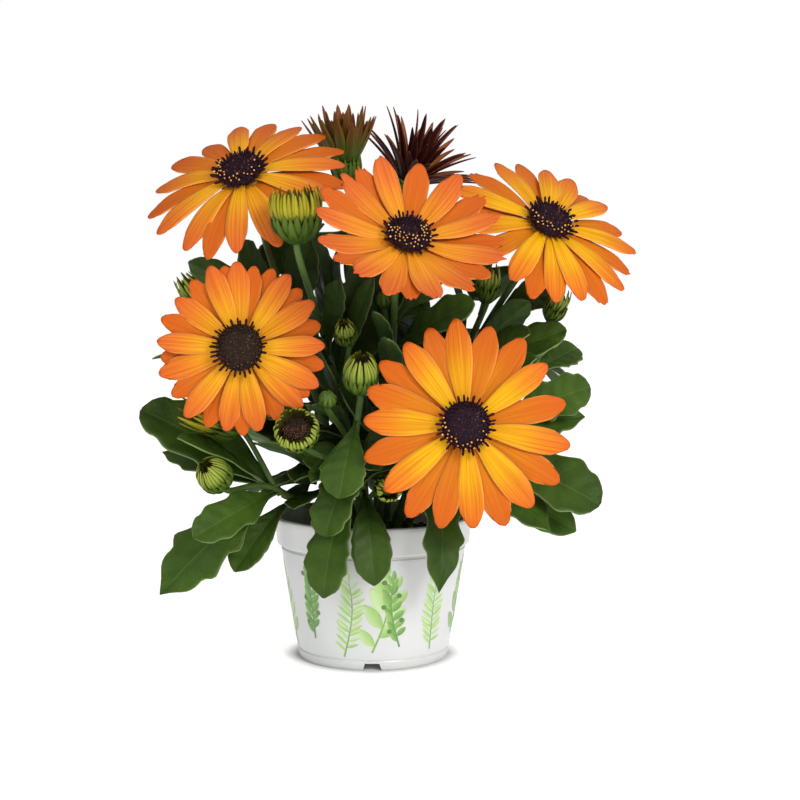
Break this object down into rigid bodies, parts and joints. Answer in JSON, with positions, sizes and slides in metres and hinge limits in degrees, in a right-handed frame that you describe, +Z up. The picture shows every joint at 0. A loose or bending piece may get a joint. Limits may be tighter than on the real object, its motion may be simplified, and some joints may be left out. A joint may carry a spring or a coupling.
{
  "type": "potted osteospermum",
  "caption": "Osteospermum in a round white plastic pot: orange daisy blooms with dark discs, half-open heads and buds on leafy shoots that stand in dark compost.",
  "frame": {"origin": "on the surface that the pot stands on, under the middle of the whole plant's spread; the pot's axis is 7.93 mm to the left of it (-X) and 12.38 mm behind it (+Y)", "axes": "+Z up, -Y to the side that the blooms face, +X to the right seen from that side"},
  "size_m": [0.2198, 0.1756, 0.2517],
  "materials": {
    "pot": "white satin-gloss moulded plastic with a printed pattern of leafy sprigs",
    "compost": "damp dark peat compost, crumbly and rough",
    "foliage": "mid to dark green leaves and stems, satin, with pale hairy margins and veins",
    "orange_rays": "satin petals, orange at the tip and golden yellow at the foot, finely streaked",
    "disc_florets": "dark purple-brown florets with cream and orange pollen",
    "olive_rays": "olive-brown undersides of half-open rays",
    "maroon_rays": "dark maroon undersides of half-open rays, orange inside",
    "bud_rays": "yellow-green young rays with darker stripes"
  },
  "bodies": {
    "root": {"pot": "pot", "soil": "compost", "bloom_1_rays": "orange_rays", "bloom_1_disc": "disc_florets", "bloom_2_rays": "orange_rays", "bloom_2_disc": "disc_florets", "bloom_3_rays": "orange_rays", "bloom_3_disc": "disc_florets", "bloom_4_rays": "orange_rays", "bloom_4_disc": "disc_florets", "bloom_5_rays": "orange_rays", "bloom_5_disc": "disc_florets", "half_open_1_rays": "olive_rays", "half_open_2_rays": "maroon_rays", "bud_1_rays": "bud_rays", "bud_1_disc": "disc_florets", "bud_2_rays": "bud_rays", "bud_2_disc": "disc_florets", "bud_3_rays": "bud_rays", "bud_3_disc": "disc_florets", "bud_4_rays": "bud_rays", "bud_4_disc": "disc_florets", "bud_5_rays": "bud_rays", "bud_6_rays": "bud_rays", "bud_7_rays": "bud_rays", "bud_8_rays": "bud_rays", "bud_9_rays": "bud_rays", "bud_10_rays": "bud_rays", "shoot_1": "foliage", "shoot_2": "foliage", "shoot_3": "foliage", "shoot_4": "foliage", "shoot_5": "foliage", "shoot_6": "foliage", "shoot_7": "foliage", "shoot_8": "foliage", "shoot_9": "foliage", "shoot_10": "foliage", "shoot_11": "foliage", "shoot_12": "foliage", "shoot_13": "foliage", "shoot_14": "foliage", "shoot_15": "foliage", "shoot_16": "foliage"}
  },
  "joints": []
}
